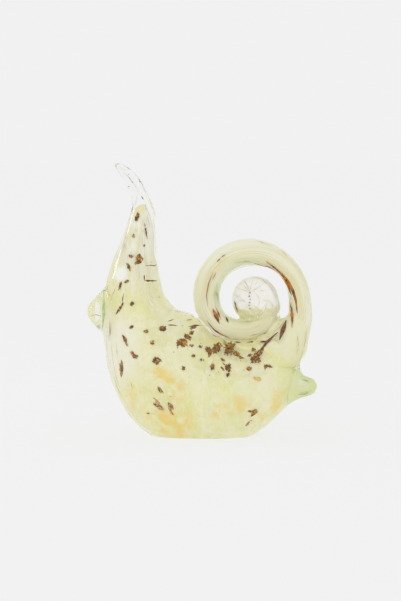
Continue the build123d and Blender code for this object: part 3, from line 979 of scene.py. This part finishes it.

# %% [markdown]
# A few single places differ again: the green of the tail, the duller milk at the root of the rod, a tan patch
# on the neck, the paler back, and the yellow tip where the milk ends in the clear horn. Two white spots, on
# the neck and in the tail, are painted highlights.

# %% Milky glass, single places and painted highlights
LONE_PLACES_AND_HIGHLIGHTS = (
    # the second place in this row is a painted highlight in the tail
    ((44, 0, 22, 6, 16), (0.74, 0.78, 0.42), 0.8), ((46, -5, 24.5, 1, 4.5), (0.95, 0.95, 0.86), 0.7),
    ((38, 0, 45, 8, 16), (0.85, 0.83, 0.57), 0.7), ((-36, -6, 80, 1, 5), (0.78, 0.68, 0.48), 0.45),
    # the second place in this row is a painted highlight on the neck
    ((24, -14, 24, 5, 15), (0.93, 0.92, 0.72), 0.4), ((-36.6, -7, 73, 2.2, 4.6), (0.985, 0.985, 0.96), 0.85),
    ((-30, -2, 103, 1, 6), (0.9, 0.74, 0.28), 0.6), ((-12, -6, 54, 4, 13), (0.93, 0.92, 0.72), 0.55),
    ((-10, -14, 36.5, 3, 11), (0.92, 0.91, 0.64), 0.5),
)
for where, tone, strength in LONE_PLACES_AND_HIGHLIGHTS:
    colour = mix(near(place, *where), colour, tone, strength)
wire(colour, milky.inputs["Base Color"])
print("milky glass has", len(place.id_data.nodes), "nodes")

# %% [markdown]
# The milk in the rod has lanes along the pull. Its noise reads the attribute lane and is stretched along the
# third coordinate. The inner side of the turn is greener, the outer paler, and some lanes are sunny yellow.

# %% Thread glass
thread = principled("thread_glass", [rod_core], Roughness=0.5)
lane = kept(thread, "lane", "Vector")
colour = mix(band(mottle(lane, 1.5, 3, (1, 1, 30)), 0.38, 0.62), (0.82, 0.79, 0.46), (0.9, 0.88, 0.66))
colour = mix(band(axis(lane, 0), -1.6, -3.4), colour, (0.83, 0.87, 0.62), 0.75)
colour = mix(band(axis(lane, 0), 1.2, 3.4), colour, (0.9, 0.91, 0.77), 0.6)
colour = mix(band(mottle(lane, 2.6, 3, (1, 1, 12)), 0.58, 0.72), colour, (0.82, 0.75, 0.36), 0.7)
colour = mix(band(axis(lane, 2), 78, 92), colour, (0.79, 0.75, 0.45), 0.55)
lane_lines = band(off(mottle(lane, 1.0, 1, (1, 1, 70))), 0.022, 0.004)
colour = mix(lane_lines, colour, (0.7, 0.54, 0.26), 0.45)
wire(colour, thread.inputs["Base Color"])
print("thread glass has", len(lane.id_data.nodes), "nodes")

# %% [markdown]
# The knob is two-toned: nearly white above and green-cream below, with a curling border between them. The
# border is a height that noise pushes up and down.

# %% Knob glass
knob_glass = principled("knob_glass", [knob], Roughness=0.5)
place = object_place(knob_glass)
swirl = mottle(place, 0.005, 3, distortion=1.2)
level = step("ADD", axis(place, 2), step("MULTIPLY", step("SUBTRACT", swirl, 0.5), 0.008))
veil = band(swirl, 0.42, 0.6)
lower_colour = mix(veil, (0.75, 0.735, 0.4), (0.86, 0.83, 0.55))
upper_colour = mix(veil, (0.965, 0.955, 0.89), (0.99, 0.99, 0.975))
PALE_ABOVE = 0.056
wire(mix(band(level, PALE_ABOVE, 0.0605), lower_colour, upper_colour), knob_glass.inputs["Base Color"])
print("knob glass turns pale above", PALE_ABOVE / MM, "mm")

# %% [markdown]
# Each group of drawn marks is a thin glass or leaf of two related tones. One tone would look like ink, so
# soft noise runs from one to the other along the mark. Leaf gets no clear highlight of its own, because it
# lies inside the glass.

# %% Line glass
GLASSY = {"Roughness": 0.5}
LEAFY = {"Roughness": 0.45, "Specular_IOR_Level": 0.0}


def two_tone(name, pieces, first, second, scale, detail=3, values=GLASSY):
    """A material on some pieces that drifts between two colours."""
    shader = principled(name, pieces, **values)
    share = band(mottle(object_place(shader), scale, detail), 0.39, 0.61)
    wire(mix(share, first, second), shader.inputs["Base Color"])
    print(name, "on", [piece.name for piece in pieces])


two_tone("tan_line_glass", [tans], (0.58, 0.42, 0.2), (0.82, 0.72, 0.5), 0.003)
# tan fold lines: the folds, partly painted shade in their creases
two_tone("fold_and_shade_glass", [folds_and_shade], (0.72, 0.6, 0.4), (0.88, 0.82, 0.66), 0.003)
# cream glass, and painted highlights on the tail and the knob
two_tone("cream_and_highlight_glass", [creams_and_highlights], (0.86, 0.83, 0.56), (0.93, 0.91, 0.7), 0.003)
two_tone("green_line_glass", [greens], (0.46, 0.55, 0.25), (0.68, 0.74, 0.44), 0.004)
two_tone("grey_line_glass", [greys], (0.52, 0.51, 0.46), (0.86, 0.86, 0.8), 0.002)
two_tone("drawn_leaf", [streaks, seam], (0.17, 0.05, 0.002), (0.6, 0.215, 0.008), 0.0035, 4, LEAFY)
two_tone("dark_leaf", [dashes], (0.11, 0.04, 0.002), (0.26, 0.1, 0.006), 0.0016, 4, LEAFY)

# %% [markdown]
# The flakes are copper leaf, burnt brown by the heat, with golden grain where it stayed bright. It is darker
# at the rim and pinker low on the left, and one flake below the tail side is amber. The leaf tore into a
# lace of small holes, which noise cuts out by the alpha.

# %% Leaf of the flakes
leaf = principled("leaf", [body_flakes, neck_flakes, near_flakes], **LEAFY)
place = object_place(leaf)
DARK, BROWN, GOLD, PINK = (0.085, 0.026, 0.001), (0.13, 0.038, 0.001), (0.6, 0.3, 0.022), (0.66, 0.37, 0.17)
grain = band(mottle(place, 0.0015, 5, roughness=0.75), 0.44, 0.58)
colour = mix(grain, BROWN, GOLD)
turns = band(mottle(place, 0.009, 2), 0.4, 0.62)
colour = mix(turns, colour, DARK, 0.45)
low_left = step("MAXIMUM", near(place, -19, -15, 15, 8, 13), near(place, -33, -8, 35, 6, 11))
colour = mix(step("MULTIPLY", low_left, band(mottle(place, 0.0014, 3), 0.44, 0.52)), colour, PINK)
colour = mix(near(place, 24.3, -15, 25.6, 4, 6.5), colour, (0.86, 0.66, 0.2), 0.9)
colour = mix(band(kept(leaf, "rim", "Fac"), 0.7, 0.98), colour, DARK, 0.35)
wire(colour, leaf.inputs["Base Color"])
wire(band(mottle(place, 0.0013, 3, roughness=0.6), 0.37, 0.43), leaf.inputs["Alpha"])
print("leaf has", len(place.id_data.nodes), "nodes")

# %% [markdown]
# The floor is a pale studio table without a far edge. Most of its brightness is its own even glow, so that
# it shows the same pale grey to the camera and through the glass. The rest is lit, and that part takes the
# soft shadow under the body.

# %% Floor
PALE, SHADOW_SHARE = 0.88, 0.25
floor_shape = bmesh.new()
bmesh.ops.create_grid(floor_shape, x_segments=1, y_segments=1, size=3.0)
floor = new_piece("floor", mesh_of(floor_shape, "floor"))
pale_floor = bpy.data.materials.new("pale_floor")
pale_floor.use_nodes = True
pale_floor.node_tree.nodes.clear()
surface = pale_floor.node_tree.nodes.new("ShaderNodeOutputMaterial").inputs["Surface"]
lit = added(surface, "BsdfDiffuse", {"Color": (0.98, 0.98, 0.98)})
even = added(surface, "Emission", {"Color": (PALE, PALE, PALE)})
partly = added(surface, "MixShader", {0: SHADOW_SHARE, 1: even.outputs[0], 2: lit.outputs[0]})
wire(partly.outputs[0], surface)
floor.data.materials.append(pale_floor)
print("floor", [round(size, 1) for size in floor.dimensions[:2]], "metres")

# %% [markdown]
# The studio is evenly bright all round, at the same pale level as the floor, so the far edge of the floor
# doesn't show. Glass needs something to mirror, so two soft lamps stand left and in front, unseen by the
# camera. They are weak: they add the shape's soft highlights and don't whiten it.

# %% Studio light
world = bpy.data.worlds.new("soft_studio")
bpy.context.scene.world = world
world.use_nodes = True
wire((PALE, PALE, PALE), world.node_tree.nodes["Background"].inputs["Color"])
LAMP_AIM = Vector((0, 0, 0.06))


def soft_lamp(name, place, size, power):
    """A soft lamp of a width and height in metres that looks at the object."""
    data = bpy.data.lights.new(name, "AREA")
    data.shape = "RECTANGLE"
    data.size, data.size_y = size
    data.energy = power
    lamp = placed(name, data)
    lamp.location = place
    lamp.rotation_euler = (Vector(place) - LAMP_AIM).to_track_quat("Z", "Y").to_euler()
    lamp.visible_camera = False
    print(name, "gives", power, "watts")


soft_lamp("left_window", (-0.6, 0.2, 0.24), (0.1, 0.12), 0.14)
soft_lamp("front_window", (-0.3, -0.6, 0.6), (0.6, 0.5), 0.3)
bpy.context.scene.view_settings.view_transform = "Standard"
